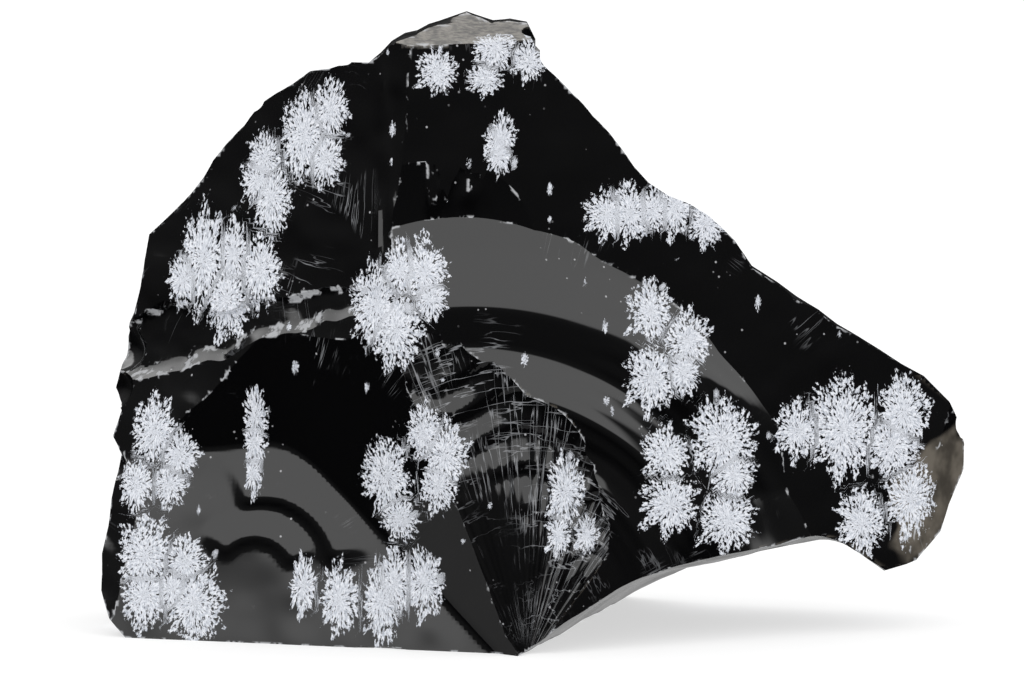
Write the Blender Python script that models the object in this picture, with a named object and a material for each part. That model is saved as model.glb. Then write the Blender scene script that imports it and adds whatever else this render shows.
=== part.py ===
"""A chunk of snowflake obsidian: one block of volcanic glass, broken to shape by blows.

The block starts as a blank, an uneven outline lofted from front to back. Every blow then takes
a flake off it, and the flake's scar is modelled as a closed cutter: a smooth patch, often
dished and rippled round the point that was struck, carried outward clear of the block. Where
two scars meet they leave a sharp ridge. Lengths here are millimetres until they reach a mesh.
The longest side lies along X, the broken face looks along -Y, and the block stands on z = 0.
"""
import math
import random
from collections import namedtuple

import bmesh
import bpy
from mathutils import Matrix, Vector

NAME = "obsidian_chunk"
MM = 0.001
FRONT_REACH = 34.0  # from the middle to the blank's flat front
BACK_REACH = 28.0  # and to its flat back
CLEAR = 60.0  # how far every struck flake is carried out of the block
PROUD = 45.0  # no scar's relief stands higher than this
LOBE_BACK = -4.0  # the lobe's solid is buried back to here
GRID = 2.4  # spacing of a scar's points
NICK_EVERY = 5  # every fifth point of the outline is nicked,
LOWEST_NICK = 5.0  # from this height up
MIDDLE_HEIGHT = 34.0
FADE = 12.0  # degrees over which a ripple dies out at either end
SEED = 7

# Main corners of the outline, anticlockwise from the lower left as seen from the front, as
# (x, y, z): y is how far back the block is widest there.
CORNERS = [
    (-50, -4, 5), (-49, -6, 2), (-46, -9, -1), (-26, -15, -1), (-12, -22, -1), (0, -22, -1),
    (8, 20, -1), (14, 18, 1), (18, 14, 5), (26, 6, 8), (34, 3, 9), (38, 1, 8), (40, 0, 7),
    (44, 1, 8), (47, 2, 11), (48, 2, 14), (50, 2, 18), (50, 2, 21), (48, 2, 26), (45, 2, 29),
    (40, 2, 32), (35, 2, 35), (28, 1, 40), (25, 0, 42), (23, -2, 45), (20, -4, 48),
    (13, -6, 52), (10, -8, 56), (5, -10, 62), (1, -11, 66), (0, 3, 68), (-1, 4, 70),
    (-5, 8, 70), (-8, 8, 71), (-11, 7, 70), (-15, -2, 69), (-19, -10, 66), (-26, -6, 65),
    (-32, -2, 61), (-36, 1, 56), (-40, 4, 50), (-45, 8, 45), (-46, 9, 39), (-48, 9, 33),
    (-49, 9, 27), (-48, 8, 25), (-49, 7, 22), (-48, 4, 20), (-49, 0, 15), (-50, -4, 9),
]
# Between corners the edge is broken about every EDGE_STEP, in or out of line by EDGE_ROUGH.
EDGE_STEP = 3.0
EDGE_ROUGH = 0.35
# The outline repeats towards the front and the back as (share of the way, scale).
FRONT_RINGS = [(0.35, 1.0), (0.7, 0.99), (1.0, 0.97)]
BACK_RINGS = [(0.22, 0.985), (0.48, 0.93), (0.74, 0.84), (1.0, 0.70)]

# Ridge points of the front, named by the faces that meet there.
TOP_LEFT = (-15, -14, 66)
TOP_MIDDLE = (-11, -14, 67)
CREST_LEFT = (-19, -17, 46)
CREST_MIDDLE = (-12, -17, 48)
CREST_RIGHT = (3, -11, 45)
CREST_END = (15, -7, 38)
KEEL_TOP = (-18, -22, 36)
KEEL_FOOT = (1, -26, 2)
LEFT_SHOULDER = (-45, 7, 45)
LEFT_VALLEY = (-34, -7, 22)
FLANK_FOOT = (-26, -10, 21)
WING_ROOT = (15, -5, 38)
WING_MIDDLE = (30, -4, 24)
WING_TIP = (45, 1, 29)
UNDER_KNEE = (12, -16, 8)
UNDER_END = (34, -3, 11)
# Where the lobe and the keel were struck, as (x, z), and the bearing where the keel's ribs end.
STRIKE = (-9, -1)
KEEL_STRIKE = (-1, -1)
RIBS_END = 32

Facing = namedtuple("Facing", "u v out")
X, Y, Z = Vector((1, 0, 0)), Vector((0, 1, 0)), Vector((0, 0, 1))
FRONT = Facing(X, Z, -Y)
BACK = Facing(-X, Z, Y)
BELOW = Facing(X, -Y, -Z)


def blend_least(a, b, width):
    """The smaller of two heights, rounded over the stretch where they are nearly equal."""
    near = max(width - abs(a - b), 0.0) / width
    return min(a, b) - near * near * width * 0.25


def least(*reliefs, width=0.3):
    """The lowest of several reliefs: their scars cross at a ridge."""
    def relief(u, v):
        height = reliefs[0](u, v)
        for other in reliefs[1:]:
            height = blend_least(height, other(u, v), width)
        return height
    return relief


def most(*reliefs, width=2.0):
    """The highest of several reliefs: one scar with a soft valley in it."""
    def relief(u, v):
        height = reliefs[0](u, v)
        for other in reliefs[1:]:
            height = -blend_least(-height, -other(u, v), width)
        return height
    return relief


def facet(facing, p, q, r, hollow=0.0):
    """Relief of a scar through three points, dished by `hollow` in its middle."""
    corners = [Vector((Vector(c).dot(facing.u), Vector(c).dot(facing.v), Vector(c).dot(facing.out)))
               for c in (p, q, r)]
    normal = (corners[1] - corners[0]).cross(corners[2] - corners[0])
    middle = (corners[0] + corners[1] + corners[2]) / 3
    radius = sum((c.xy - middle.xy).length for c in corners) / 3

    def relief(u, v):
        du, dv = u - middle.x, v - middle.y
        flat = middle.z - (normal.x * du + normal.y * dv) / normal.z
        return flat - hollow * (1 - (du * du + dv * dv) / radius ** 2)
    return relief


def ease(t):
    t = min(max(t, 0.0), 1.0)
    return t * t * (3 - 2 * t)


def ripple(crest, outer, inner, height, first, last, centre=STRIKE):
    """One ripple round a strike: a ridge at radius `crest` between two bearings in degrees."""
    def relief(u, v):
        du, dv = u - centre[0], v - centre[1]
        beyond = math.hypot(du, dv) - crest
        flank = 1 - (beyond / outer if beyond > 0 else -beyond / inner)
        bearing = math.degrees(math.atan2(du, dv))
        fade = ease((bearing - first) / FADE) * ease((last - bearing) / FADE)
        return height * max(flank, 0.0) * fade
    return relief


def plus(base, *extras):
    return lambda u, v: base(u, v) + sum(extra(u, v) for extra in extras)


def ledge(base, start, end, above, below, lip, deep):
    """A long step under a line: it drops `deep` in, within `above`, and comes back out at a lip.

    The floor of the step is `below` wide. Along the line it loses about half its depth and width.
    """
    line = Vector((end[0] - start[0], end[1] - start[1]))
    along = line.normalized()

    def relief(u, v):
        du, dv = u - start[0], v - start[1]
        off = dv * along.x - du * along.y
        left = 1 - 0.55 * min(max((du * along.x + dv * along.y) / line.length, 0.0), 1.0)
        beyond = off / above if off > 0 else max(-off - below * left, 0.0) / lip
        return base(u, v) - deep * left * (1 - beyond)
    return relief


def keel_edge(bearing):
    """How far the ribbed scar of the keel runs from its strike, scalloped along its far edge."""
    return max(28.0 - 0.38 * bearing, 11.0) * (1 + 0.07 * abs(math.sin(math.radians(7.0 * bearing))))


def hackled(base, deep, rib):
    """A thin fan-shaped scar in `base`, ribbed along the bearings from KEEL_STRIKE."""
    def relief(u, v):
        du, dv = u - KEEL_STRIKE[0], v - KEEL_STRIKE[1]
        reach, bearing = math.hypot(du, dv), math.degrees(math.atan2(du, dv))
        share = reach / keel_edge(bearing)
        wave = math.sin(0.9 * bearing) + 0.6 * math.sin(0.41 * bearing + 1.0)
        fade = ease((RIBS_END - bearing) / 20)
        return base(u, v) - deep * (1 - share ** 8) + rib * wave * fade * share * (1 - share ** 4)
    return relief


def square_patch(u_range, v_range, step=GRID):
    """Grid coordinates for a rectangular patch: (segments, map from the unit square)."""
    (u0, u1), (v0, v1) = u_range, v_range
    count = (max(round((u1 - u0) / step), 1), max(round((v1 - v0) / step), 1))
    return count, lambda s, t: (u0 + (u1 - u0) * s, v0 + (v1 - v0) * t)


def strip_patch(start, end, half_width, step):
    """Grid coordinates for a rectangular patch whose long side runs along a line."""
    line = Vector((end[0] - start[0], end[1] - start[1]))
    across = Vector((-line.y, line.x)).normalized() * half_width
    count = (round(line.length / step), round(2 * half_width / step))

    def place(s, t):
        side = 2 * t - 1
        return start[0] + line.x * s + across.x * side, start[1] + line.y * s + across.y * side
    return count, place


def fan_patch(centre, radii, first, last, spokes, edge=lambda bearing: 1.0):
    """Grid coordinates for a fan round a strike point, with a ring of points at each radius."""
    rings = len(radii) - 1

    def place(s, t):
        bearing = first + (last - first) * s
        radius = radii[round(t * rings)] * edge(bearing)
        turn = math.radians(bearing)
        return centre[0] + radius * math.sin(turn), centre[1] + radius * math.cos(turn)
    return (spokes, rings), place


def make_object(name, bm, collection):
    bmesh.ops.recalc_face_normals(bm, faces=bm.faces)
    mesh = bpy.data.meshes.new(name)
    bm.to_mesh(mesh)
    bm.free()
    made = bpy.data.objects.new(name, mesh)
    collection.objects.link(made)
    return made


def make_cutter(name, bm, collection):
    cutter = make_object(name, bm, collection)
    cutter.hide_render = True
    cutter.display_type = "WIRE"
    return cutter


def layer(name, facing, patch, relief, end, collection):
    """A closed solid between the relief and a flat end at height `end` along the facing."""
    (across, along), place = patch
    bm = bmesh.new()
    bmesh.ops.create_grid(bm, x_segments=across, y_segments=along, size=0.5)
    for vert in bm.verts:
        u, v = place(vert.co.x + 0.5, vert.co.y + 0.5)
        vert.co = (facing.u * u + facing.v * v + facing.out * min(relief(u, v), PROUD)) * MM
    grown = bmesh.ops.extrude_face_region(bm, geom=bm.faces[:])["geom"]
    for vert in (g for g in grown if isinstance(g, bmesh.types.BMVert)):
        vert.co += facing.out * (end * MM - vert.co.dot(facing.out))
    return make_cutter(name, bm, collection)


def flake(name, facing, patch, relief, collection):
    """The stone that one blow removes: all that is in front of the relief, out to CLEAR."""
    return layer(name, facing, patch, relief, CLEAR, collection)


def chip(name, centre, radii, turn, collection):
    """A small rounded chip out of an edge, as an ellipsoid turned about Y by `turn` degrees."""
    bm = bmesh.new()
    bmesh.ops.create_uvsphere(bm, u_segments=14, v_segments=9, radius=1.0)
    place = Matrix.Translation(Vector(centre)) @ Matrix.Rotation(math.radians(turn), 4, "Y")
    bmesh.ops.transform(bm, matrix=Matrix.Scale(MM, 4) @ place @ Matrix.Diagonal((*radii, 1)), verts=bm.verts)
    return make_cutter(name, bm, collection)


def broken_edge():
    """The outline's corners joined by short straight breaks, each a little in or out of line."""
    rng = random.Random(SEED)
    points = []
    for start, end in zip(CORNERS, CORNERS[1:] + CORNERS[:1]):
        first, run = Vector(start), Vector(end) - Vector(start)
        across = Vector((-run.z, 0, run.x)).normalized()
        breaks = max(round(run.length / EDGE_STEP), 1)
        points.append(first)
        for i in range(1, breaks):
            points.append(first + run * (i / breaks) + across * rng.uniform(-EDGE_ROUGH, EDGE_ROUGH))
    return points


def make_blank(outline, collection):
    """The outline lofted from a flat front to a smaller flat back."""
    rings = [(-FRONT_REACH, share, scale) for share, scale in reversed(FRONT_RINGS)]
    rings += [(0.0, 0.0, 1.0)] + [(BACK_REACH, share, scale) for share, scale in BACK_RINGS]
    bm = bmesh.new()
    loops = []
    for end, share, scale in rings:
        loops.append([bm.verts.new(Vector((x * scale, y + (end - y) * share, z * scale)) * MM)
                      for x, y, z in outline])
    for near, far in zip(loops, loops[1:]):
        for i in range(len(outline)):
            j = (i + 1) % len(outline)
            bm.faces.new((near[i], near[j], far[j], far[i]))
    bm.faces.new(loops[0])
    bm.faces.new(loops[-1])
    return make_object(NAME, bm, collection)


def bulge():
    return facet(FRONT, CREST_MIDDLE, CREST_END, KEEL_FOOT, -1.2)


def upper_flakes(cutters):
    """The older faces of the front, which the rippled lobe stands out from."""
    whole = square_patch((-56, 56), (-6, 78))
    upper_middle = facet(FRONT, TOP_MIDDLE, CREST_MIDDLE, CREST_RIGHT, 0.4)
    shoulder = facet(FRONT, CREST_RIGHT, CREST_END, (24, -2, 42))
    wing = facet(FRONT, WING_ROOT, WING_MIDDLE, WING_TIP)
    return [
        flake("cut_upper_middle", FRONT, whole, upper_middle, cutters),
        flake("cut_right", FRONT, whole, most(shoulder, wing, width=5.0), cutters),
    ]


def rippled_lobe(cutters):
    """The bulging fracture that spreads up and right from the strike, ringed with ripples."""
    rippled = plus(
        bulge(),
        ripple(39.9, 6.3, 4.6, 0.8, -60, 75),
        ripple(30.6, 4.7, 4.0, 0.8, -30, 75),
        ripple(25.0, 3.0, 4.0, 0.5, 30, 80),
        ripple(40.0, 6.5, 3.0, 1.6, -13, 13, (29, -30)),
    )
    radii = [1, 8, 15, 21, 25, 26.6, 28.4, 30.6, 33, 35.3, 37.6, 39.9, 43, 46.2, 50]
    fan = fan_patch(STRIKE, radii, -30, 104, 33)
    return layer("lobe", FRONT, fan, lambda u, v: max(rippled(u, v), LOBE_BACK + 1), LOBE_BACK, cutters)


def front_flakes(cutters):
    """The faces that cut the top, the left side and the keel back from the lobe."""
    whole = square_patch((-56, 56), (-6, 78))
    top = facet(FRONT, (-15, -14, 68), (0, -10, 68), (-8, 6, 71), 0.3)
    upper_left = facet(FRONT, TOP_LEFT, CREST_LEFT, LEFT_SHOULDER, 0.5)
    flank = facet(FRONT, KEEL_TOP, FLANK_FOOT, (-16, -17, 12))
    wall = facet(FRONT, (-44, -4, 20), LEFT_VALLEY, (-36, -8, 33))
    apron = facet(FRONT, LEFT_VALLEY, FLANK_FOOT, (-40, -13, 0))
    lower_left = most(flank, wall, apron, width=2.0)
    hollow = ledge(least(upper_left, lower_left), (-48, 35), (-20, 40), 1.2, 5.0, 2.0, 1.8)
    beak = facet(FRONT, (47, 0, 22), (42, -5, 8), (50, 4, 15))
    shares = [0.04, 0.25, 0.45, 0.62, 0.76, 0.87, 0.95, 1.0, 1.06]
    keel = fan_patch(KEEL_STRIKE, shares, -36, 38, 48, keel_edge)
    return [
        flake("cut_top", FRONT, square_patch((-26, 10), (40, 78), 4.0), top, cutters),
        flake("cut_upper_left", FRONT, square_patch((-57, 55), (-7, 79), 2.3), upper_left, cutters),
        flake("cut_lower_left", FRONT, square_patch((-58, 54), (-8, 80), 1.9), lower_left, cutters),
        flake("cut_hollow", FRONT, strip_patch((-56, 29), (-13, 34), 9.5, 1.3), hollow, cutters),
        flake("cut_beak", FRONT, square_patch((30, 60), (-6, 40), 2.6), beak, cutters),
        flake("cut_keel", FRONT, keel, hackled(bulge(), 1.2, 0.2), cutters),
    ]


def under_flakes(cutters):
    steep = facet(BELOW, KEEL_FOOT, UNDER_KNEE, (12, 20, 2))
    shallow = facet(BELOW, UNDER_KNEE, UNDER_END, (26, 20, 6))
    beak = facet(BELOW, UNDER_END, (40, -1, 7), (40, 25, 6))
    underside = most(steep, shallow, beak)
    sole = square_patch((-60, 60), (-50, 50), 30.0)
    return [
        flake("cut_underside", BELOW, square_patch((-4, 44), (-44, 44), 2.4), underside, cutters),
        flake("cut_sole", BELOW, sole, lambda u, v: 0.0, cutters),
    ]


def back_flakes(cutters):
    peak, left, right = (-8, 10, 68), (-44, 14, 38), (44, 8, 24)
    high, low, far = (-18, 23, 38), (-8, 27, 14), (14, 20, 30)
    heel_left, heel_right, shoulder = (-40, 17, 0), (14, 26, 0), (20, 6, 44)
    whole = square_patch((-56, 56), (-6, 78), 2.8)
    scars = {
        "upper_left": facet(BACK, peak, left, high, 1.6),
        "upper_middle": facet(BACK, peak, high, far, 1.2),
        "upper_right": facet(BACK, peak, shoulder, far, 1.0),
        "left": facet(BACK, left, high, heel_left, 1.8),
        "centre": facet(BACK, high, low, far, 1.0),
        "right": facet(BACK, far, right, heel_right, 1.6),
        "lower_left": facet(BACK, high, low, heel_left, 1.4),
    }
    return [flake("cut_back_" + name, BACK, whole, scar, cutters) for name, scar in scars.items()]


def edge_chips(outline, cutters):
    """Shell-like chips along the left edge and the beak, and small nicks round the outline."""
    made = [
        chip("cut_shell_1", (-52.0, 4, 33.0), (7, 9, 4), 15, cutters),
        chip("cut_shell_2", (-52.5, 2, 27.0), (6, 8, 3.4), -10, cutters),
        chip("cut_shell_3", (-51.5, -6, 20.0), (5, 9, 3.4), 20, cutters),
        chip("cut_shell_4", (-51.0, -12, 11.0), (5, 7, 5), 0, cutters),
        chip("cut_sole_nick", (-19.0, -24, -1.2), (7, 6, 1.9), 0, cutters),
    ]
    rng = random.Random(SEED)
    for i in range(3, len(outline), NICK_EVERY):
        x, y, z = outline[i]
        if z < LOWEST_NICK:
            continue
        size = rng.uniform(2.2, 3.8)
        outward = Vector((x, 0, z - MIDDLE_HEIGHT)).normalized() * size * 0.72
        centre = Vector((x, y + rng.uniform(2, 6), z)) + outward
        radii = (size, size * 1.5, size * 0.8)
        made.append(chip(f"cut_nick_{i}", centre, radii, rng.uniform(0, 180), cutters))
    return made


def strike(chunk, other, operation):
    boolean = chunk.modifiers.new(other.name, "BOOLEAN")
    boolean.operation = operation
    boolean.solver = "EXACT"
    boolean.object = other


def obsidian():
    glass = bpy.data.materials.new("snowflake_obsidian")
    glass.use_nodes = True
    shader = glass.node_tree.nodes["Principled BSDF"]
    shader.inputs["Base Color"].default_value = (0.012, 0.012, 0.014, 1)
    shader.inputs["Roughness"].default_value = 0.08
    shader.inputs["Metallic"].default_value = 0.0
    return glass


def main():
    for old in list(bpy.data.objects):
        bpy.data.objects.remove(old)
    parts = bpy.data.collections.new(NAME)
    cutters = bpy.data.collections.new("cutters")
    bpy.context.scene.collection.children.link(parts)
    bpy.context.scene.collection.children.link(cutters)
    outline = broken_edge()
    chunk = make_blank(outline, parts)
    chunk.data.materials.append(obsidian())
    for cutter in upper_flakes(cutters):
        strike(chunk, cutter, "DIFFERENCE")
    strike(chunk, rippled_lobe(cutters), "UNION")
    struck = under_flakes(cutters) + front_flakes(cutters) + back_flakes(cutters)
    for cutter in struck + edge_chips(outline, cutters):
        strike(chunk, cutter, "DIFFERENCE")


main()
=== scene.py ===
"""Looks of the snowflake obsidian chunk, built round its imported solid.

The chunk is knapped again from the same scars as the solid, on a much finer grid: every scar is a
patch of relief with its own ripples, hackles and torn steps, carried outward as a closed cutter.
Lengths here are millimetres until they reach a mesh. The front looks along -Y, the chunk stands on
z = 0, and the snowflakes are balls of pale crystal in the glass, seen where a scar cuts them.
"""
import math
import random
from collections import namedtuple

import bmesh
import bpy
import numpy as np
from mathutils import Matrix, Vector
from mathutils.bvhtree import BVHTree


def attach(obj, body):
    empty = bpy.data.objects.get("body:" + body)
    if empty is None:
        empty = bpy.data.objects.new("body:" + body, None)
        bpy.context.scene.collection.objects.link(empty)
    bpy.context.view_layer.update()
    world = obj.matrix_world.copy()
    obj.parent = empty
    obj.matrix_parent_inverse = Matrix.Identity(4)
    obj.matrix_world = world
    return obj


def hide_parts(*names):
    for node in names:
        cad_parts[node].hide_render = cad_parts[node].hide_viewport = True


MM = 0.001
SEED = 7
PIECE = "chunk"

# The block, as in its solid.
CORNERS = [
    (-50, -4, 5), (-49, -6, 2), (-46, -9, -1), (-26, -15, -1), (-12, -22, -1), (0, -22, -1),
    (8, 20, -1), (14, 18, 1), (18, 14, 5), (26, 6, 8), (34, 3, 9), (38, 1, 8), (40, 0, 7),
    (44, 1, 8), (47, 2, 11), (48, 2, 14), (50, 2, 18), (50, 2, 21), (48, 2, 26), (45, 2, 29),
    (40, 2, 32), (35, 2, 35), (28, 1, 40), (25, 0, 42), (23, -2, 45), (20, -4, 48),
    (13, -6, 52), (10, -8, 56), (5, -10, 62), (1, -11, 66), (0, 3, 68), (-1, 4, 70),
    (-5, 8, 70), (-8, 8, 71), (-11, 7, 70), (-15, -2, 69), (-19, -10, 66), (-26, -6, 65),
    (-32, -2, 61), (-36, 1, 56), (-40, 4, 50), (-45, 8, 45), (-46, 9, 39), (-48, 9, 33),
    (-49, 9, 27), (-48, 8, 25), (-49, 7, 22), (-48, 4, 20), (-49, 0, 15), (-50, -4, 9),
]
EDGE_STEP = 3.0
EDGE_ROUGH = 0.35
FRONT_REACH, BACK_REACH = 34.0, 28.0
RINGS = [(-1.0, 0.97), (-0.7, 0.99), (-0.35, 1.0), (0.0, 1.0),
         (0.22, 0.985), (0.48, 0.93), (0.74, 0.84), (1.0, 0.70)]
CLEAR = 60.0
PROUD = 45.0
LOBE_BACK = -4.0
NICK_EVERY, LOWEST_NICK, MIDDLE_HEIGHT = 5, 5.0, 34.0
TOP_LEFT, TOP_MIDDLE = (-15, -14, 66), (-11, -14, 67)
CREST_LEFT, CREST_MIDDLE = (-19, -17, 46), (-12, -17, 48)
CREST_RIGHT, CREST_END = (3, -11, 45), (15, -7, 38)
KEEL_TOP, KEEL_FOOT = (-18, -22, 36), (1, -26, 2)
LEFT_SHOULDER, LEFT_VALLEY, FLANK_FOOT = (-45, 7, 45), (-34, -7, 22), (-26, -10, 21)
WING_ROOT, WING_MIDDLE, WING_TIP = (15, -5, 38), (30, -4, 24), (45, 1, 29)
UNDER_KNEE, UNDER_END = (12, -16, 8), (34, -3, 11)
UNDER_HEEL, UNDER_BACK = (12, 20, 2), (26, 20, 6)
BEAK_FRONT, BEAK_BACK = (40, -1, 7), (40, 25, 6)
BEAK_CORNERS = (47, 0, 22), (42, -5, 8), (50, 4, 15)
SHOULDER_END = (24, -2, 42)
TOP_CORNERS = (-15, -14, 68), (0, -10, 68), (-8, 6, 71)
FLANK_END, APRON_END = (-16, -17, 12), (-40, -13, 0)
WALL_END, WALL_TOP = (-44, -4, 20), (-36, -8, 33)
STEP_START, STEP_END = (-48, 35), (-20, 40)

# Where the scars of the front were struck from, as (x, z).
STRIKE, KEEL_STRIKE, LOWER_STRIKE = (-9, -1), (-1, -1), (-31, 8)
MIDDLE_STRIKE, LEFT_STRIKE, STEP_STRIKE = (-12, 78), (-18, 76), (-30, 60)
OTHER_STRIKE = (10, 90)
STRIKES = {
    "cut_upper_middle": MIDDLE_STRIKE, "cut_upper_left": LEFT_STRIKE, "cut_right": STRIKE,
    "lobe": STRIKE, "cut_keel": KEEL_STRIKE, "cut_lower_left": LOWER_STRIKE, "cut_hollow": STEP_STRIKE,
}
RIBS_END = 32

# Spacing of the relief's points, on the front, the back and the walls of the block.
FRONT_GRID, BACK_GRID, WALL_GRID = 0.5, 0.9, 1.0
# An edge between two scars is sharp above the first angle, and one within a scar above the second.
CREASE_ANGLE, TORN_ANGLE = math.radians(3), math.radians(32)
# The step at the left is painted pale, as crushed glass with painted glints, where its faces look up or down
# at least this much.
STEEP = 0.4

# The camera: straight on and a little from above, with the point AIM seen at AIM_PIXEL.
IMAGE_WIDTH, IMAGE_HEIGHT = 1024, 683
AIM = Vector((0, 0, 36))
AIM_PIXEL = (535.5, 316.7)
CAMERA_LIFT = math.radians(5)
CAMERA_REACH = 900.0
PIXELS_PER_MM = 8.65
SENSOR = 36.0

# Snowflakes of the front, in loose patches as the camera sees them: the middle and the half sizes
# of each patch, how many snowflakes a loop scatters in it, and how wide and high those are.
PATCHES = [
    ((-31, 53), (2, 4), 3, (6, 9)), ((-25, 58), (2, 4), 3, (6, 9)), ((-35, 41), (6, 4), 5, (6, 10)),
    ((-4, 65), (8, 2), 5, (5, 5)), ((-4, 55), (1, 2), 3, (4, 6)),
    ((14, 48), (7, 2), 5, (6, 7)), ((15, 33), (3, 5), 4, (6, 8)),
    ((19, 17), (5, 6), 5, (8, 9)), ((37, 23), (7, 3), 4, (8, 10)),
    ((40, 14), (4, 3), 2, (7, 8)), ((-15, 38), (4, 4), 5, (6, 8)),
    ((-14, 18), (4, 6), 5, (6, 8)), ((-19, 5), (8, 2), 5, (5, 9)),
    ((-32, 21), (1, 5), 3, (3, 8)), ((-44, 19), (3, 5), 4, (6, 8)),
    ((-42, 6), (5, 4), 5, (7, 8)), ((4, 12), (2, 5), 3, (4, 7)),
]
# How many places are tried for each snowflake, so that the patches are evenly filled.
TRIES = 14
SPECKS, SPECK_SIZES = 60, (0.3, 0.9)
SPECKS_ACROSS, SPECKS_UP = (-47, 47), (2, 68)
OTHER_SNOWFLAKES, OTHER_RADII = 95, (0.6, 5.2)
# By the normal's part along the view, -1 where it faces the camera: the front's snowflakes mark the
# points below SEEN_LIMIT and the others the rest, and the others are centred above HIDDEN_LIMIT.
SEEN_LIMIT, HIDDEN_LIMIT = 0.05, -0.15
# The reach of a point that no snowflake is near.
FAR_OFF = 4.0
# Glass thinner than this lets a little light through, and so does the tip of the beak.
THIN_GLASS = 4.0
CLEAR_TIP = (50, 0, 13)

# Black of the glass, and the colour of the painted light that comes through thin glass and the beak's tip.
BLACK_GLASS, LIGHT_THROUGH_GLASS = (0.0012, 0.0012, 0.0014, 1), (0.13, 0.115, 0.095, 1)
CRYSTAL_DARK, CRYSTAL_PALE = (0.36, 0.39, 0.45, 1), (0.80, 0.82, 0.87, 1)
SKIN_DARK, SKIN_PALE = (0.03, 0.027, 0.024, 1), (0.20, 0.185, 0.16, 1)
# Pale colours of the painted highlights along torn streaks, of crushed edges with painted glints, and of
# dust.
STREAK_HIGHLIGHT_COLOR, CRUSHED_GLINT_COLOR, DUST_COLOR = (0.40, 0.41, 0.43, 1), (0.50, 0.51, 0.53, 1), (0.6, 0.6, 0.62, 1)

# The floor, and the gray patch of it that gloss mirrors: name, half width, drop, seen by gloss, tone, glow.
FLOORS = [("floor", 3000, 0.0, False, 0.45, 0.60), ("floor_near", 55, 0.05, True, 0.35, 0.0)]
# What gloss sees, by the upward part of its direction: a soft box above BOX_EDGE, with a faint haze below.
BOX_EDGE, BOX_FULL, BOX_DARK, BOX_GLOW = 0.43, 0.49, 0.02, 2.4
HAZE_START, HAZE_FULL, HAZE_GLOW = 0.05, 0.45, 0.16
EVEN_GLOW = 1.15

Facing = namedtuple("Facing", "u v out")
Snowflake = namedtuple("Snowflake", "centre radii axes grain")
X, Y, Z = Vector((1, 0, 0)), Vector((0, 1, 0)), Vector((0, 0, 1))
FRONT, BACK, BELOW = Facing(X, Z, -Y), Facing(-X, Z, Y), Facing(X, -Y, -Z)


# ---- relief: functions of (u, v) arrays that give the height along a facing ----

def ease(t):
    t = np.clip(t, 0.0, 1.0)
    return t * t * (3 - 2 * t)


def least(a, b, width=0.3):
    """The lower of two reliefs, rounded where they are nearly equal."""
    def relief(u, v):
        p, q = a(u, v), b(u, v)
        near = np.maximum(width - np.abs(p - q), 0.0) / width
        return np.minimum(p, q) - near * near * width * 0.25
    return relief


def most(a, b, width=2.0):
    lower = least(lambda u, v: -a(u, v), lambda u, v: -b(u, v), width)
    return lambda u, v: -lower(u, v)


def plus(base, *extras):
    return lambda u, v: base(u, v) + sum(extra(u, v) for extra in extras)


def facet(facing, p, q, r, hollow=0.0):
    """Relief of a scar through three points, dished by `hollow` in its middle."""
    corners = [Vector((Vector(c).dot(facing.u), Vector(c).dot(facing.v), Vector(c).dot(facing.out)))
               for c in (p, q, r)]
    normal = (corners[1] - corners[0]).cross(corners[2] - corners[0])
    middle = (corners[0] + corners[1] + corners[2]) / 3
    radius = sum((c.xy - middle.xy).length for c in corners) / 3

    def relief(u, v):
        du, dv = u - middle.x, v - middle.y
        flat = middle.z - (normal.x * du + normal.y * dv) / normal.z
        return flat - hollow * (1 - (du * du + dv * dv) / radius ** 2)
    return relief


def value_noise(a, b, seed):
    """Smooth noise from -1 to 1 with features about one unit across."""
    table = np.random.default_rng(seed).uniform(-1, 1, (64, 64))
    ia, ib = np.floor(a).astype(int), np.floor(b).astype(int)
    fa, fb = ease(a - ia), ease(b - ib)
    low = table[ia % 64, ib % 64] * (1 - fa) + table[(ia + 1) % 64, ib % 64] * fa
    high = table[ia % 64, (ib + 1) % 64] * (1 - fa) + table[(ia + 1) % 64, (ib + 1) % 64] * fa
    return low * (1 - fb) + high * fb


def rough(size, height, seed, octaves=3):
    """Uneven broken glass: noise `size` across and `height` high, with finer noise on it."""
    def relief(u, v):
        return sum(height * 0.45 ** k * value_noise(u / size * 2 ** k + 9 * k, v / size * 2 ** k, seed + k)
                   for k in range(octaves))
    return relief


def polar(u, v, centre):
    du, dv = u - centre[0], v - centre[1]
    return np.hypot(du, dv), np.degrees(np.arctan2(du, dv))


def ripple(crest, outer, inner, height, first, last, centre=STRIKE):
    """One ripple round a strike: a ridge at radius `crest` between two bearings in degrees."""
    def relief(u, v):
        reach, bearing = polar(u, v, centre)
        beyond = reach - crest
        flank = 1 - np.where(beyond > 0, beyond / outer, -beyond / inner)
        fade = ease((bearing - first) / 12) * ease((last - bearing) / 12)
        return height * np.maximum(flank, 0.0) * fade
    return relief


def waves(centre, pitch, height, first, last, near, far):
    """Low even waves round a strike, between two bearings and two radii."""
    def relief(u, v):
        reach, bearing = polar(u, v, centre)
        fade = ease((bearing - first) / 15) * ease((last - bearing) / 15)
        fade = fade * ease((reach - near) / 4) * ease((far - reach) / 4)
        wander = 0.8 * value_noise(bearing / 14, reach / 9, 3)
        return height * fade * np.sin(math.tau * (reach / pitch + wander))
    return relief


def hackles(centre, spacing, height, first, last, near, far, seed):
    """Fine torn lines that radiate from a strike, `spacing` degrees apart."""
    def relief(u, v):
        reach, bearing = polar(u, v, centre)
        fade = ease((bearing - first) / 6) * ease((last - bearing) / 6)
        fade = fade * ease((reach - near) / 4) * ease((far - reach) / 4)
        return height * fade * np.abs(value_noise(bearing / spacing, reach / 7, seed))
    return relief


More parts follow.
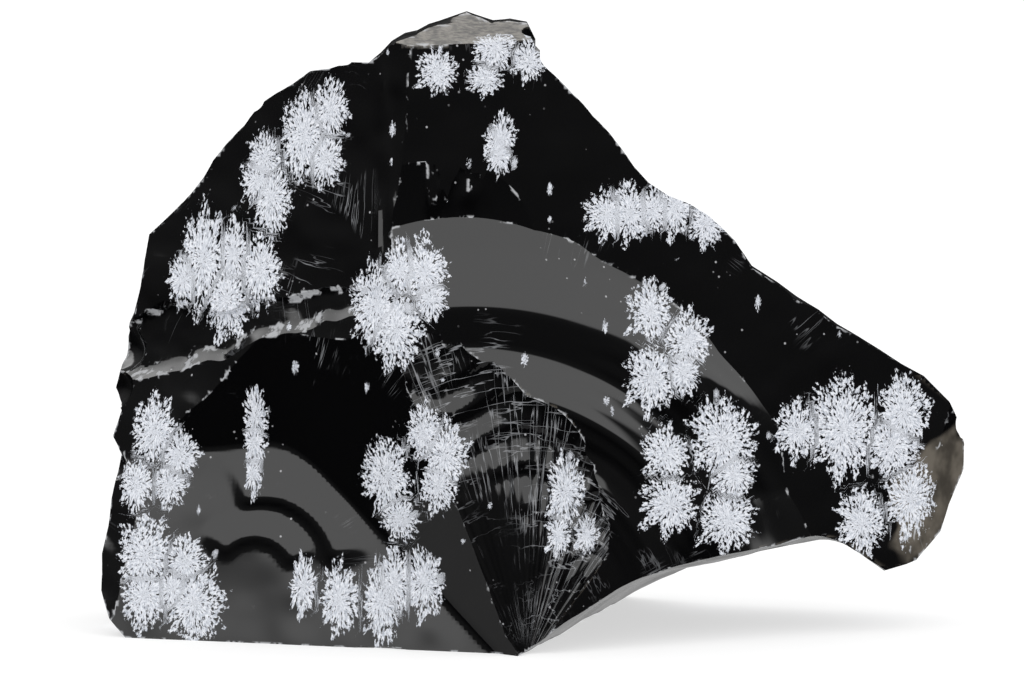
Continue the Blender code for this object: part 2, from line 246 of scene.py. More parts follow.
def ledge(base, start, end, above, below, lip, deep):
    """A long step under a line: it drops `deep` in, within `above`, and comes back out at a lip.

    The floor of the step is `below` wide. Along the line it loses about half its depth and width.
    """
    line = Vector((end[0] - start[0], end[1] - start[1]))
    along = line.normalized()
    wander = rough(6.0, 1.2, 31)

    def relief(u, v):
        du, dv = u - start[0], v - start[1]
        off = dv * along.x - du * along.y + wander(u, v)
        left = 1 - 0.55 * np.clip((du * along.x + dv * along.y) / line.length, 0.0, 1.0)
        beyond = np.where(off > 0, off / above, np.maximum(-off - below * left, 0.0) / lip)
        return base(u, v) - deep * left * (1 - beyond)
    return relief


def keel_edge(bearing):
    """How far the ribbed scar of the keel runs from its strike, scalloped along its far edge."""
    return np.maximum(28.0 - 0.38 * bearing, 11.0) * (1 + 0.07 * np.abs(np.sin(np.radians(7.0 * bearing))))


def hackled(base, deep, rib):
    """A thin fan-shaped scar in `base`, ribbed along the bearings from KEEL_STRIKE."""
    def relief(u, v):
        reach, bearing = polar(u, v, KEEL_STRIKE)
        share = reach / keel_edge(bearing)
        wander = 0.5 * value_noise(bearing / 9, reach / 12, 4)
        wave = 0.4 * np.sin(2.0 * bearing + wander) + 0.8 * np.sin(0.41 * bearing + 1.0)
        fade = ease((RIBS_END - bearing) / 20)
        torn = 0.35 * np.abs(value_noise(bearing / 2.6, reach / 22, 5)) * share
        steps = (reach / 4.2 + 1.6 * value_noise(bearing / 17, reach / 40, 6)) % 1.0
        steps = np.minimum(steps / 0.8, (1 - steps) / 0.2)
        torn = torn + 0.5 * ease((share - 0.5) / 0.25) * steps
        return base(u, v) - deep * (1 - share ** 8) + rib * wave * fade * share * (1 - share ** 4) - torn
    return relief


# ---- patches: point counts and a map from the unit square to (u, v) ----

def square_patch(u_range, v_range, step):
    (u0, u1), (v0, v1) = u_range, v_range
    count = (round((u1 - u0) / step), round((v1 - v0) / step))
    return count, lambda s, t: (u0 + (u1 - u0) * s, v0 + (v1 - v0) * t)


def strip_patch(start, end, half_width, step):
    line = Vector((end[0] - start[0], end[1] - start[1]))
    across = Vector((-line.y, line.x)).normalized() * half_width
    count = (round(line.length / step), round(2 * half_width / step))
    return count, lambda s, t: (start[0] + line.x * s + across.x * (2 * t - 1),
                                start[1] + line.y * s + across.y * (2 * t - 1))


def fan_patch(centre, near, far, first, last, step_degrees, step, edge=None):
    """A fan round a strike, from radius `near` to `far`, or to those shares of `edge(bearing)`."""
    reach = far - near if edge is None else (far - near) * 30
    count = (round((last - first) / step_degrees), round(reach / step))

    def place(s, t):
        bearing = first + (last - first) * s
        radius = (near + (far - near) * t) * (1 if edge is None else edge(bearing))
        turn = np.radians(bearing)
        return centre[0] + radius * np.sin(turn), centre[1] + radius * np.cos(turn)
    return count, place


# ---- solids ----

def make_object(name, points, faces):
    """A mesh object with a material of its own, which later tells one scar from the next."""
    mesh = bpy.data.meshes.new(name)
    mesh.from_pydata((np.asarray(points) * MM).tolist(), [], faces)
    mesh.materials.append(bpy.data.materials.new(name))
    made = bpy.data.objects.new(name, mesh)
    bpy.context.scene.collection.objects.link(made)
    return made


def layer(name, facing, patch, relief, end=CLEAR):
    """A closed solid between the relief and a flat end at height `end` along the facing."""
    (across, along), place = patch
    s, t = np.meshgrid(np.linspace(0, 1, across + 1), np.linspace(0, 1, along + 1))
    u, v = place(s.ravel(), t.ravel())
    height = np.minimum(relief(u, v), PROUD)
    frame = np.array([facing.u, facing.v, facing.out])
    near = np.stack([u, v, height], 1) @ frame
    row = across + 1
    index = np.arange(row * (along + 1)).reshape(along + 1, row)
    quads = np.stack([index[:-1, :-1], index[1:, :-1], index[1:, 1:], index[:-1, 1:]], -1).reshape(-1, 4)
    rim = np.concatenate([index[0, :-1], index[:-1, -1], index[-1, :0:-1], index[:0:-1, 0]])
    far = near[rim] + np.outer(end - height[rim], frame[2])
    far_rim = len(near) + np.arange(len(rim))
    walls = np.stack([rim, np.roll(rim, -1), np.roll(far_rim, -1), far_rim], 1)
    faces = quads.tolist() + walls.tolist() + [far_rim.tolist()]
    if end < height.min():
        faces = [face[::-1] for face in faces]
    return make_object(name, np.vstack([near, far]), faces)


def broken_edge():
    """The outline's corners joined by short straight breaks, each a little in or out of line."""
    rng = random.Random(SEED)
    points = []
    for start, end in zip(CORNERS, CORNERS[1:] + CORNERS[:1]):
        first, run = Vector(start), Vector(end) - Vector(start)
        across = Vector((-run.z, 0, run.x)).normalized()
        breaks = max(round(run.length / EDGE_STEP), 1)
        points.append(first)
        for i in range(1, breaks):
            points.append(first + run * (i / breaks) + across * rng.uniform(-EDGE_ROUGH, EDGE_ROUGH))
    return points


def make_blank():
    """The outline lofted from a flat front to a smaller flat back, with rough walls."""
    outline = np.array(broken_edge())
    pieces = []
    for start, end in zip(outline, np.roll(outline, -1, axis=0)):
        count = max(round(np.linalg.norm((end - start)[[0, 2]]) / WALL_GRID), 1)
        pieces.append(start + (end - start) * np.linspace(0, 1, count, endpoint=False)[:, None])
    loop = np.vstack(pieces)
    shares = np.linspace(-1, 1, round((FRONT_REACH + BACK_REACH) / WALL_GRID))
    scales = np.interp(shares, *zip(*RINGS))
    points = []
    for share, scale in zip(shares, scales):
        end = -FRONT_REACH if share < 0 else BACK_REACH
        y = loop[:, 1] + (end - loop[:, 1]) * abs(share)
        rugged = rough(5.0, 0.012, 21)(np.arange(len(loop)) * WALL_GRID, y) * min(abs(share) * 4, 1)
        size = scale * (1 - np.abs(rugged))
        points.append(np.stack([loop[:, 0] * size, y, loop[:, 2] * size], 1))
    n, faces = len(loop), []
    for ring in range(len(shares) - 1):
        for i in range(n):
            j = (i + 1) % n
            faces.append([ring * n + i, (ring + 1) * n + i, (ring + 1) * n + j, ring * n + j])
    faces.append(list(range(n)))
    faces.append([(len(shares) - 1) * n + i for i in reversed(range(n))])
    return make_object(PIECE, np.vstack(points), faces)


def whole(step, shift=0.0):
    return square_patch((-57 + shift, 56 + shift), (-7 + shift, 78 + shift), step)


def bulge():
    return facet(FRONT, CREST_MIDDLE, CREST_END, KEEL_FOOT, -1.2)


def upper_flakes():
    """The older faces of the front, which the rippled lobe stands out from."""
    middle = plus(
        facet(FRONT, TOP_MIDDLE, CREST_MIDDLE, CREST_RIGHT, 0.4),
        waves((4, 78), pitch=5.5, height=0.10, first=150, last=230, near=8, far=44),
        hackles(MIDDLE_STRIKE, spacing=2.0, height=0.8, first=165, last=212, near=8, far=30, seed=41),
    )
    shoulder = facet(FRONT, CREST_RIGHT, CREST_END, SHOULDER_END)
    wing = facet(FRONT, WING_ROOT, WING_MIDDLE, WING_TIP)
    right = plus(most(shoulder, wing, width=5.0), rough(9.0, 0.12, seed=51))
    return [
        layer("cut_upper_middle", FRONT, whole(FRONT_GRID), middle),
        layer("cut_right", FRONT, whole(FRONT_GRID, 0.13), right),
    ]


def rippled_lobe():
    """The bulging fracture that spreads up and right from the strike, ringed with ripples."""
    rippled = plus(
        bulge(),
        ripple(39.9, outer=6.3, inner=4.6, height=0.8, first=-60, last=75),
        ripple(30.6, outer=4.7, inner=4.0, height=0.8, first=-30, last=75),
        ripple(25.0, outer=3.0, inner=4.0, height=0.5, first=30, last=80),
        ripple(38.5, outer=3.0, inner=6.0, height=0.6, first=14, last=54, centre=(1, -4)),
        ripple(40.0, outer=6.5, inner=3.0, height=1.6, first=-13, last=13, centre=(29, -30)),
        waves(STRIKE, pitch=1.9, height=0.045, first=20, last=85, near=20, far=46),
    )
    fan = fan_patch(STRIKE, near=1, far=50, first=-30, last=104, step_degrees=0.7, step=FRONT_GRID)
    return layer("lobe", FRONT, fan, lambda u, v: np.maximum(rippled(u, v), LOBE_BACK + 1), LOBE_BACK)


def under_flakes():
    steep = facet(BELOW, KEEL_FOOT, UNDER_KNEE, UNDER_HEEL)
    shallow = facet(BELOW, UNDER_KNEE, UNDER_END, UNDER_BACK)
    beak = facet(BELOW, UNDER_END, BEAK_FRONT, BEAK_BACK)
    underside = plus(most(most(steep, shallow), beak), rough(7.0, 0.25, seed=61))
    return [
        layer("cut_underside", BELOW, square_patch((-4, 44), (-44, 44), BACK_GRID), underside),
        layer("cut_sole", BELOW, square_patch((-60, 60), (-50, 50), 30), lambda u, v: u * 0),
    ]


def front_flakes():
    """The faces that cut the top, the left side and the keel back from the lobe."""
    top = plus(facet(FRONT, *TOP_CORNERS, 0.3), rough(3.0, 0.5, seed=71))
    upper_left = plus(
        facet(FRONT, TOP_LEFT, CREST_LEFT, LEFT_SHOULDER, 0.5),
        rough(8.0, 0.35, seed=81),
        hackles(LEFT_STRIKE, spacing=2.2, height=0.7, first=172, last=235, near=8, far=44, seed=82),
    )
    flank = facet(FRONT, KEEL_TOP, FLANK_FOOT, FLANK_END)
    wall = facet(FRONT, WALL_END, LEFT_VALLEY, WALL_TOP)
    apron = facet(FRONT, LEFT_VALLEY, FLANK_FOOT, APRON_END)
    lower_left = plus(
        most(most(flank, wall), apron, width=0.2),
        ripple(8.0, outer=5.0, inner=1.0, height=0.35, first=-25, last=85, centre=LOWER_STRIKE),
        ripple(4.6, outer=3.4, inner=0.8, height=0.25, first=-60, last=70, centre=(-32, 7)),
        rough(12.0, 0.1, seed=91),
    )
    meeting = least(upper_left, lower_left)
    hollow = ledge(meeting, STEP_START, STEP_END, above=0.8, below=5.0, lip=1.0, deep=1.6)
    hollow = plus(hollow, rough(3.0, 0.16, seed=95))
    beak = plus(facet(FRONT, *BEAK_CORNERS), rough(4.0, 0.25, seed=97))
    keel = fan_patch(KEEL_STRIKE, near=0.04, far=1.06, first=-36, last=38,
                     step_degrees=0.5, step=FRONT_GRID, edge=keel_edge)
    return [
        layer("cut_top", FRONT, square_patch((-26, 10), (40, 78), FRONT_GRID), top),
        layer("cut_upper_left", FRONT, whole(FRONT_GRID, 0.21), upper_left),
        layer("cut_lower_left", FRONT, whole(FRONT_GRID, 0.34), lower_left),
        layer("cut_hollow", FRONT, strip_patch((-56, 29), (-13, 34), half_width=9.5, step=0.4), hollow),
        layer("cut_beak", FRONT, square_patch((30, 60), (-6, 40), FRONT_GRID), beak),
        layer("cut_keel", FRONT, keel, hackled(bulge(), deep=1.2, rib=0.2)),
    ]


def back_flakes():
    peak, left, right = (-8, 10, 68), (-44, 14, 38), (44, 8, 24)
    high, low, far = (-18, 23, 38), (-8, 27, 14), (14, 20, 30)
    heel_left, heel_right, shoulder = (-40, 17, 0), (14, 26, 0), (20, 6, 44)
    scars = [
        ((peak, left, high), 1.6), ((peak, high, far), 1.2), ((peak, shoulder, far), 1.0),
        ((left, high, heel_left), 1.8), ((high, low, far), 1.0), ((far, right, heel_right), 1.6),
        ((high, low, heel_left), 1.4),
    ]
    made = []
    for i, (corners, hollow) in enumerate(scars):
        middle = sum((Vector(c) for c in corners), Vector()) / 3
        relief = plus(
            facet(BACK, *corners, hollow),
            waves((12 - middle.x, middle.z - 24), pitch=6.5, height=0.18, first=-70, last=70, near=6, far=44),
            rough(9.0, 0.2, seed=110 + 7 * i),
        )
        made.append(layer(f"cut_back_{i}", BACK, whole(BACK_GRID, 0.11 * i), relief))
    return made


def chip(name, centre, radii, turn):
    """A small shell-like chip out of an edge: an ellipsoid with fine ripples, turned about Y."""
    bm = bmesh.new()
    bmesh.ops.create_uvsphere(bm, u_segments=36, v_segments=22, radius=1.0)
    place = Matrix.Translation(Vector(centre)) @ Matrix.Rotation(math.radians(turn), 4, "Y")
    points = []
    for vert in bm.verts:
        swell = 1 + 0.02 * math.sin(math.tau * (vert.co.y + 0.4 * vert.co.x) * 3.5)
        points.append(place @ Matrix.Diagonal((*radii, 1)) @ (vert.co * swell))
    faces = [[vert.index for vert in face.verts] for face in bm.faces]
    bm.free()
    return make_object(name, points, faces)


def edge_chips():
    """Shell-like chips along the left edge and the beak, and small nicks round the outline."""
    made = [
        chip("cut_shell_1", (-52.0, 4, 33.0), (7, 9, 4), 15),
        chip("cut_shell_2", (-52.5, 2, 27.0), (6, 8, 3.4), -10),
        chip("cut_shell_3", (-51.5, -6, 20.0), (5, 9, 3.4), 20),
        chip("cut_shell_4", (-51.0, -12, 11.0), (5, 7, 5), 0),
        chip("cut_sole_nick", (-19.0, -24, -1.2), (7, 6, 1.9), 0),
    ]
    rng = random.Random(SEED)
    outline = broken_edge()
    for i in range(3, len(outline), NICK_EVERY):
        x, y, z = outline[i]
        if z < LOWEST_NICK:
            continue
        size = rng.uniform(2.2, 3.8)
        outward = Vector((x, 0, z - MIDDLE_HEIGHT)).normalized() * size * 0.72
        centre = Vector((x, y + rng.uniform(2, 6), z)) + outward
        made.append(chip(f"cut_nick_{i}", centre, (size, size * 1.5, size * 0.8), rng.uniform(0, 180)))
    return made


def strike(chunk, other, operation):
    """One Boolean. The cutters are closed meshes, which the Manifold solver takes in little time."""
    boolean = chunk.modifiers.new(other.name, "BOOLEAN")
    boolean.operation = operation
    boolean.solver = "MANIFOLD"
    boolean.material_mode = "TRANSFER"
    boolean.object = other


def mark_streaks(mesh, grid):
    """Stores, on each face corner, its bearing and reach from the strike that made its scar."""
    strikes = [STRIKES.get(material.name, OTHER_STRIKE) for material in mesh.materials]
    field = grid.loops.layers.float_vector.new("streak")
    for face in grid.faces:
        across, up = strikes[face.material_index]
        for loop in face.loops:
            x, _, z = loop.vert.co / MM
            bearing = math.degrees(math.atan2(x - across, z - up))
            loop[field] = (bearing, math.hypot(x - across, z - up), face.material_index)


def keep_creases(mesh):
    """Smooth within a scar, sharp where two scars meet and where the glass is torn.

    Returns the points where two scars meet and the steep faces of the step, which are painted
    a little crushed with painted glints, those of the rough skin on top, and those of the ribbed keel.
    """
    mesh.polygons.foreach_set("use_smooth", [True] * len(mesh.polygons))
    grid = bmesh.new()
    grid.from_mesh(mesh)
    skin, crease, keel = (np.zeros(len(mesh.vertices)) for _ in range(3))
    for edge in grid.edges:
        if len(edge.link_faces) != 2:
            continue
        one, other = edge.link_faces
        same_scar = one.material_index == other.material_index
        edge.smooth = edge.calc_face_angle(0.0) < (TORN_ANGLE if same_scar else CREASE_ANGLE)
        if not edge.smooth and not same_scar:
            crease[[vert.index for vert in edge.verts]] = 1
    mark_streaks(mesh, grid)
    skin_scar = mesh.materials.find("cut_top")
    step_scar = mesh.materials.find("cut_hollow")
    keel_scar = mesh.materials.find("cut_keel")
    for face in grid.faces:
        if face.material_index == skin_scar:
            skin[[vert.index for vert in face.verts]] = 1
        # Steep faces of the step get the crushed white with painted glints.
        if face.material_index == step_scar and abs(face.normal.z) > STEEP:
            crease[[vert.index for vert in face.verts]] = 1
        if face.material_index == keel_scar:
            keel[[vert.index for vert in face.verts]] = 1
        face.material_index = 0
    grid.to_mesh(mesh)
    grid.free()
    return crease, skin, keel


def store(mesh, name, values):
    kind = "FLOAT" if values.ndim == 1 else "FLOAT_VECTOR"
    field = "value" if values.ndim == 1 else "vector"
    mesh.attributes.new(name, kind, "POINT").data.foreach_set(field, values.ravel())


def knap():
    """The finished chunk: the blank, all its scars, and creases kept sharp."""
    chunk = make_blank()
    helpers = []
    for cutter in upper_flakes():
        strike(chunk, cutter, "DIFFERENCE")
        helpers.append(cutter)
    lobe = rippled_lobe()
    strike(chunk, lobe, "UNION")
    helpers.append(lobe)
    for cutter in under_flakes() + front_flakes() + back_flakes() + edge_chips():
        strike(chunk, cutter, "DIFFERENCE")
        helpers.append(cutter)
    graph = bpy.context.evaluated_depsgraph_get()
    mesh = bpy.data.meshes.new_from_object(chunk.evaluated_get(graph))
    chunk.modifiers.clear()
    chunk.data = mesh
    for helper in helpers:
        bpy.data.objects.remove(helper)
    crease, skin, keel = keep_creases(mesh)
    store(mesh, "crease", crease)
    store(mesh, "skin", skin)
    store(mesh, "keel", keel)
    return chunk


# ---- snowflakes ----

def view_axes():
    """Right, up and forward for the camera."""
    forward = Vector((0, math.cos(CAMERA_LIFT), -math.sin(CAMERA_LIFT)))
    return np.array([X, X.cross(forward), forward])


def scattered(rng, middle, halves, count):
    """Uneven places in an oval: each is the one of a few tries that lies farthest from the rest."""
    places = []
    for _ in range(count):
        tries = []
        for _ in range(TRIES):
            turn, out = rng.uniform(0, 2 * math.pi), math.sqrt(rng.random())
            tries.append((middle[0] + halves[0] * out * math.cos(turn),
                          middle[1] + halves[1] * out * math.sin(turn)))
        places.append(max(tries, key=lambda t: min((math.dist(t, p) for p in places), default=0)))
    return places


def front_snowflakes(tree):
    """The patches and specks of the front, each centred where the camera's ray meets the chunk."""
    rng = random.Random(SEED)
    axes = view_axes()
    eye = Vector(AIM) - Vector(axes[2]) * CAMERA_REACH
    wanted = []
    for middle, halves, count, (width, height) in PATCHES:
        for place in scattered(rng, middle, halves, count):
            size = rng.uniform(0.7, 1.15)
            wanted.append((place, width * size, height * size * rng.uniform(0.85, 1.15)))
    for _ in range(SPECKS):
        size = rng.uniform(*SPECK_SIZES)
        place = (rng.uniform(*SPECKS_ACROSS), rng.uniform(*SPECKS_UP))
        wanted.append((place, size, size * rng.uniform(1, 2.4)))
    flakes = []
    for (a, b), width, height in wanted:
        aim = Vector(AIM) + Vector(axes[0]) * a + Vector(axes[1]) * (b - AIM.z)
        hit = tree.ray_cast(eye * MM, (aim - eye).normalized())[0]
        if hit is None:
            continue
        deep = 2.5 * max(width, height)
        flakes.append(Snowflake(np.array(hit) / MM, np.array([width, height, deep]) / 2, axes,
                            np.array([1.0, width / height, 1.0])))
    return flakes


def other_snowflakes(points, normals):
    """Round snowflakes, seeded, over the back, the ends and the underside."""
    rng = np.random.default_rng(SEED)
    hidden = np.flatnonzero(normals @ view_axes()[2] > HIDDEN_LIMIT)
    flakes = []
    for i in rng.choice(hidden, OTHER_SNOWFLAKES):
        size = rng.uniform(*OTHER_RADII)
        radii = size * rng.uniform(0.75, 1.15, 3)
        flakes.append(Snowflake(points[i], radii, np.eye(3), np.ones(3)))
    return flakes


def mark_snowflakes(chunk):
    """Stores, at each point, how far out in its nearest snowflake it lies, and which way."""
    mesh = chunk.data
    points = np.empty(len(mesh.vertices) * 3)
    normals = np.empty(len(mesh.vertices) * 3)
    mesh.vertices.foreach_get("co", points)
    mesh.vertices.foreach_get("normal", normals)
    points, normals = points.reshape(-1, 3) / MM, normals.reshape(-1, 3)
    tree = BVHTree.FromPolygons([v.co for v in mesh.vertices], [p.vertices[:] for p in mesh.polygons])
    seen = normals @ view_axes()[2] < SEEN_LIMIT
    reach = np.full(len(points), FAR_OFF)
    ray, grain = np.zeros((len(points), 3)), points.copy()
    groups = [(flake, seen) for flake in front_snowflakes(tree)]
    groups += [(flake, ~seen) for flake in other_snowflakes(points, normals)]
    for number, (flake, where) in enumerate(groups):
        local = (points - flake.centre) @ flake.axes.T / flake.radii
        length = np.linalg.norm(local, axis=1)
        nearer = where & (length < reach)
        reach[nearer] = length[nearer]
        ray[nearer] = local[nearer] / np.maximum(length[nearer], 1e-6)[:, None]
        grain[nearer] = ((points[nearer] - flake.centre) @ flake.axes.T) * flake.grain + 7.3 * number
    store(mesh, "flake_reach", reach)
    store(mesh, "flake_ray", ray)
    store(mesh, "flake_grain", grain)
    store(mesh, "thin", thinness(tree, points, normals))


def thinness(tree, points, normals):
    """1 where the glass is a thin edge and 0 where it is thick, measured straight in."""
    thin = np.zeros(len(points))
    for i, (point, normal) in enumerate(zip(points, normals)):
        inward = Vector(-normal)
        start = Vector(point) * MM + inward * 0.05 * MM
        hit = tree.ray_cast(start, inward, THIN_GLASS * MM)
        if hit[3] is not None:
            thin[i] = 1 - hit[3] / (THIN_GLASS * MM)
    return thin


# ---- material ----

class Nodes:
    """Short forms for the nodes that the material is built from."""

    def __init__(self, tree):
        self.tree = tree

    def put(self, kind, inputs=(), **settings):
        node = self.tree.nodes.new(kind)
        for name, value in settings.items():
            setattr(node, name, value)
        for key, value in dict(inputs).items():
            if isinstance(value, bpy.types.NodeSocket):
                self.tree.links.new(value, node.inputs[key])
            else:
                node.inputs[key].default_value = value
        return node

    def attribute(self, name, output="Fac"):
        return self.put("ShaderNodeAttribute", attribute_name=name).outputs[output]

    def noise(self, vector, scale, detail=3.0, roughness=0.6):
        inputs = {"Vector": vector, "Scale": scale, "Detail": detail, "Roughness": roughness}
        return self.put("ShaderNodeTexNoise", inputs).outputs["Fac"]

    def blend(self, first, first_share, second, second_share):
        """The two vectors, each scaled, added up."""
        scaled = [self.put("ShaderNodeVectorMath", {0: vector, "Scale": share}, operation="SCALE").outputs[0]
                  for vector, share in ((first, first_share), (second, second_share))]
        return self.put("ShaderNodeVectorMath", {0: scaled[0], 1: scaled[1]}, operation="ADD").outputs[0]

    def math(self, operation, first, second=0.0, third=0.0):
        node = self.put("ShaderNodeMath", {0: first, 1: second, 2: third}, operation=operation)
        return node.outputs[0]

    def ramp(self, value, low, high, to_low=0.0, to_high=1.0):
        inputs = {"Value": value, "From Min": low, "From Max": high, "To Min": to_low, "To Max": to_high}
        return self.put("ShaderNodeMapRange", inputs, interpolation_type="SMOOTHSTEP").outputs[0]

    def mix(self, share, first, second):
        inputs = {"Factor": share, 6: first, 7: second}
        return self.put("ShaderNodeMix", inputs, data_type="RGBA").outputs[2]


def snowflake_mask(n):
    """1 in the pale crystal: a disc of branching blades, broken by fine dark gaps between them."""
    reach, ray, grain = n.attribute("flake_reach"), n.attribute("flake_ray", "Vector"), \
        n.attribute("flake_grain", "Vector")
    lobes = n.noise(ray, 2.2, 1.0)
    blades = n.noise(n.blend(ray, 2.6, grain, 0.95), 1.0, 3.5, 0.68)
    edge = n.math("MULTIPLY_ADD", n.math("SUBTRACT", lobes, 0.5), 1.3, reach)
    edge = n.math("MULTIPLY_ADD", n.math("SUBTRACT", blades, 0.5), 1.1, edge)
    body = n.ramp(edge, 0.93, 0.88)
    gaps = n.noise(n.blend(ray, 4.0, grain, 2.1), 1.0, 3.0, 0.65)
    gap_level = n.ramp(reach, 0.1, 1.0, 0.37, 0.48)
    open_glass = n.ramp(n.math("SUBTRACT", gaps, gap_level), 0.0, 0.03)
    shade = n.noise(n.blend(ray, 7.0, grain, 2.4), 1.0, 3.0, 0.7)
    return n.math("MULTIPLY", body, open_glass), shade


def streak_highlights(n, place):
    """Painted highlights: thin pale lines where torn glass would glint, running out from a scar's strike, and
    a few arcs across them.
    """
    streak = n.attribute("streak", "Vector")
    lines = []
    for scale, patch, low in (((0.5, 0.06, 3.1), 75.0, 0.60), ((0.05, 0.6, 4.7), 60.0, 0.60)):
        along = n.put("ShaderNodeVectorMath", {0: streak, 1: scale}, operation="MULTIPLY").outputs[0]
        level = n.math("ABSOLUTE", n.math("SUBTRACT", n.noise(along, 1.0, 3.0, 0.6), 0.5))
        patches = n.noise(place, patch, 3.0)
        everywhere, keel_only = n.ramp(patches, low, low + 0.12), n.ramp(patches, 0.43, 0.58)
        where = n.math("MAXIMUM", everywhere, n.math("MULTIPLY", n.attribute("keel"), keel_only))
        lines.append(n.math("MULTIPLY", n.ramp(level, 0.016, 0.003), where))
    return n.math("MAXIMUM", *lines)


def glass_and_light_through_color(n, place):
    """Black, with painted light coming through: paler and brown where the glass is thin, faded out near the
    floor as painted shade, and clouded at the tip of the beak.
    """
    height = n.put("ShaderNodeSeparateXYZ", {0: place}).outputs[2]
    # Painted light through thin glass, with painted shade near the floor where the thin edges sit.
    thin = n.math("MULTIPLY", n.ramp(n.attribute("thin"), 0.35, 1.0), n.ramp(height, 0.002, 0.012))
    tip = tuple(Vector(CLEAR_TIP) * MM)
    distance = n.put("ShaderNodeVectorMath", {0: place, 1: tip}, operation="DISTANCE").outputs["Value"]
    ragged = n.math("MULTIPLY_ADD", n.noise(place, 150.0, 2.0), 0.012, distance)
    clear = n.ramp(ragged, 0.016, 0.0145)
    veils = n.ramp(n.noise(place, 220.0, 3.0), 0.3, 0.65, 0.35, 1.0)
    seen_through = n.math("MAXIMUM", n.math("MULTIPLY", thin, 0.5), n.math("MULTIPLY", clear, veils))
    return n.mix(seen_through, BLACK_GLASS, LIGHT_THROUGH_GLASS)


def crushed_glint_edges(n, place):
    """Bits of white along the creases, where the edge between two scars is crushed, and painted glints along
    those edges.
    """
    return n.math("MULTIPLY", n.ramp(n.attribute("crease"), 0.2, 0.9),
                  n.ramp(n.noise(place, 420.0, 3.0), 0.52, 0.60))


def dust_specks(n, place):
    spots = n.put("ShaderNodeTexVoronoi", {"Vector": place, "Scale": 700.0, "Randomness": 1.0})
    return n.math("MULTIPLY", n.ramp(spots.outputs["Distance"], 0.12, 0.06),
                  n.ramp(n.noise(place, 160.0, 1.0), 0.54, 0.62))


def snowflake_obsidian():
    """Black glass with pale crystal in it, painted highlights along torn streaks, crushed edges with painted
    glints, painted light through thin glass, dust and a brown skin on top.
    """
    material, tree, shader = make_material("snowflake_obsidian")
    n = Nodes(tree)
    place = n.put("ShaderNodeTexCoord").outputs["Object"]
    snow, shade = snowflake_mask(n)
    lines = streak_highlights(n, place)
    crushed_glints = crushed_glint_edges(n, place)
    skin_grain = n.noise(place, 900.0, 4.0, 0.7)
    skin = n.math("MULTIPLY", n.attribute("skin"), 0.9)
    # The glass colour holds painted light through thin glass.
    color = n.mix(skin, glass_and_light_through_color(n, place), n.mix(n.ramp(skin_grain, 0.35, 0.65), SKIN_DARK, SKIN_PALE))
    # Painted highlights: pale lines along the torn streaks.
    color = n.mix(n.math("MULTIPLY", lines, 0.5), color, STREAK_HIGHLIGHT_COLOR)
    # Crushed edges, with painted glints along them.
    color = n.mix(n.math("MULTIPLY", crushed_glints, 0.75), color, CRUSHED_GLINT_COLOR)
    color = n.mix(n.math("MULTIPLY", dust_specks(n, place), 0.6), color, DUST_COLOR)
    color = n.mix(snow, color, n.mix(n.ramp(shade, 0.3, 0.65), CRYSTAL_DARK, CRYSTAL_PALE))
    tree.links.new(color, shader.inputs["Base Color"])
    dull = n.math("MAXIMUM", n.math("MAXIMUM", snow, skin), crushed_glints)
    sheen = n.ramp(n.noise(place, 90.0, 3.0), 0.35, 0.7, 0.035, 0.10)
    tree.links.new(n.math("MULTIPLY_ADD", dull, 0.5, sheen), shader.inputs["Roughness"])
    shader.inputs["IOR"].default_value = 1.5
    raised = n.math("MULTIPLY_ADD", snow, 0.35, n.math("MULTIPLY", skin, skin_grain))
    bump = n.put("ShaderNodeBump", {"Height": raised, "Strength": 0.45, "Distance": 0.0003})
    tree.links.new(bump.outputs[0], shader.inputs["Normal"])
    return material


# ---- camera, light and floor ----

def make_camera():
    view = Vector((0, math.cos(CAMERA_LIFT), -math.sin(CAMERA_LIFT)))
    camera = bpy.data.objects.new("camera", bpy.data.cameras.new("camera"))
    bpy.context.scene.collection.objects.link(camera)
    camera.data.sensor_width = SENSOR
    camera.data.lens = SENSOR * CAMERA_REACH * PIXELS_PER_MM / IMAGE_WIDTH
    camera.data.shift_x = (IMAGE_WIDTH / 2 - AIM_PIXEL[0]) / IMAGE_WIDTH
    camera.data.shift_y = (AIM_PIXEL[1] - IMAGE_HEIGHT / 2) / IMAGE_WIDTH
    camera.location = (AIM - view * CAMERA_REACH) * MM
    camera.rotation_euler = view.to_track_quat("-Z", "Y").to_euler()
    camera.data.clip_start = 0.01
    bpy.context.scene.camera = camera


def make_material(name):
    material = bpy.data.materials.new(name)
    material.use_nodes = True
    return material, material.node_tree, material.node_tree.nodes["Principled BSDF"]


def make_floor():
    """A large pale floor, lit a little from within, and a small patch that only gloss sees."""
    for name, half, drop, glossy, tone, glow in FLOORS:
        corners = [(-half, -half, -drop), (half, -half, -drop), (half, half, -drop), (-half, half, -drop)]
        floor = make_object(name, corners, [[0, 1, 2, 3]])
        material, _, shader = make_material(name)
        shader.inputs["Base Color"].default_value = (tone, tone, tone, 1)
        shader.inputs["Emission Color"].default_value = (1, 1, 1, 1)
        shader.inputs["Emission Strength"].default_value = glow
        shader.inputs["Roughness"].default_value = 0.8
        shader.inputs["Specular IOR Level"].default_value = 0.0
        floor.data.materials.clear()
        floor.data.materials.append(material)
        floor.visible_glossy = glossy
        floor.visible_camera = not glossy
        floor.visible_diffuse = not glossy
        floor.visible_shadow = not glossy


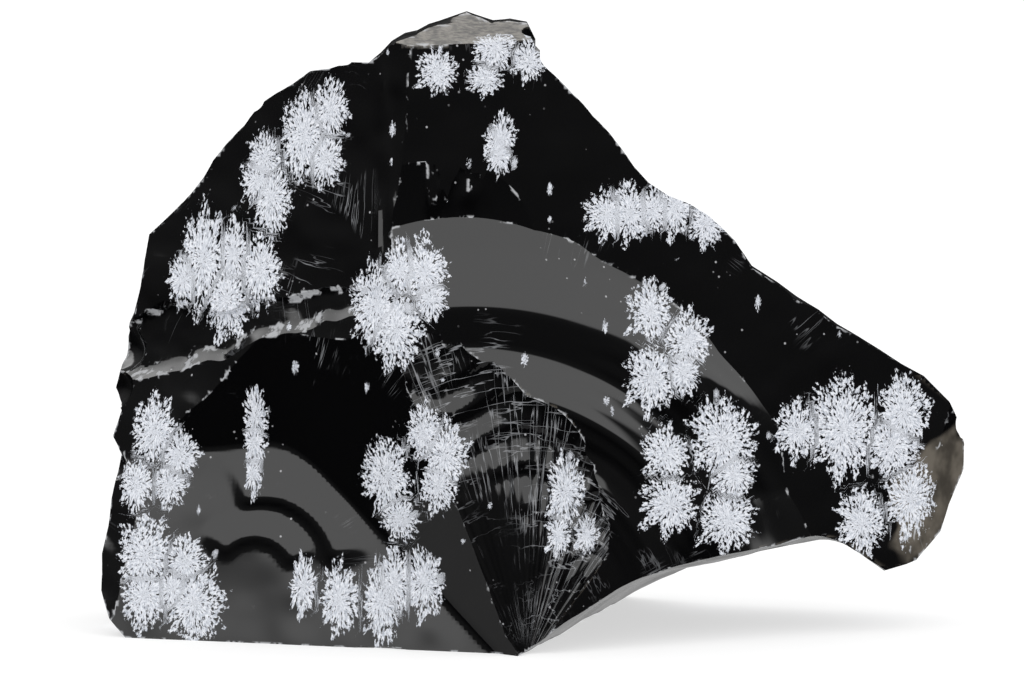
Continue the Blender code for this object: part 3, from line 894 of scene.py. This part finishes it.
def make_world():
    """A white studio: gloss sees a soft box overhead with a faint haze below it, the rest is even."""
    world = bpy.data.worlds.new("studio")
    bpy.context.scene.world = world
    world.use_nodes = True
    tree = world.node_tree
    nodes, links = tree.nodes, tree.links
    out = nodes["World Output"]
    nodes.remove(nodes["Background"])
    path = nodes.new("ShaderNodeLightPath")
    place = nodes.new("ShaderNodeTexCoord")
    split = nodes.new("ShaderNodeSeparateXYZ")
    links.new(place.outputs["Generated"], split.inputs[0])
    box, haze, total = (nodes.new(f"ShaderNode{kind}") for kind in ("MapRange", "MapRange", "Math"))
    box.interpolation_type = "SMOOTHSTEP"
    for i, (node, levels) in enumerate(((box, (BOX_EDGE, BOX_FULL, BOX_DARK, BOX_GLOW)),
                                        (haze, (HAZE_START, HAZE_FULL, 0.0, HAZE_GLOW)))):
        for socket, level in zip(("From Min", "From Max", "To Min", "To Max"), levels):
            node.inputs[socket].default_value = level
        links.new(split.outputs["Z"], node.inputs["Value"])
        links.new(node.outputs[0], total.inputs[i])
    gloss, even = nodes.new("ShaderNodeBackground"), nodes.new("ShaderNodeBackground")
    links.new(total.outputs[0], gloss.inputs["Strength"])
    even.inputs["Color"].default_value = (1, 1, 1, 1)
    even.inputs["Strength"].default_value = EVEN_GLOW
    mix = nodes.new("ShaderNodeMixShader")
    links.new(path.outputs["Is Glossy Ray"], mix.inputs[0])
    links.new(even.outputs[0], mix.inputs[1])
    links.new(gloss.outputs[0], mix.inputs[2])
    links.new(mix.outputs[0], out.inputs["Surface"])


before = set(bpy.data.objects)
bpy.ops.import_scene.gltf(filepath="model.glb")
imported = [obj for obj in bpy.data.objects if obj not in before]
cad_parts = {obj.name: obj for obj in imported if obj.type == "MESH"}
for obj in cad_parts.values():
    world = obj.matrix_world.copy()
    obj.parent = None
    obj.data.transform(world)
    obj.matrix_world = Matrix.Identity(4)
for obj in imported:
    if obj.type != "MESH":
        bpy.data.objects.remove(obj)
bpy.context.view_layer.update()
bpy.context.scene.view_settings.view_transform = "Standard"
chunk = knap()
chunk.data.materials.clear()
chunk.data.materials.append(snowflake_obsidian())
mark_snowflakes(chunk)
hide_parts("obsidian_chunk")
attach(chunk, "root")
print("chunk triangles", sum(len(p.vertices) - 2 for p in chunk.data.polygons))
make_floor()
make_world()
make_camera()
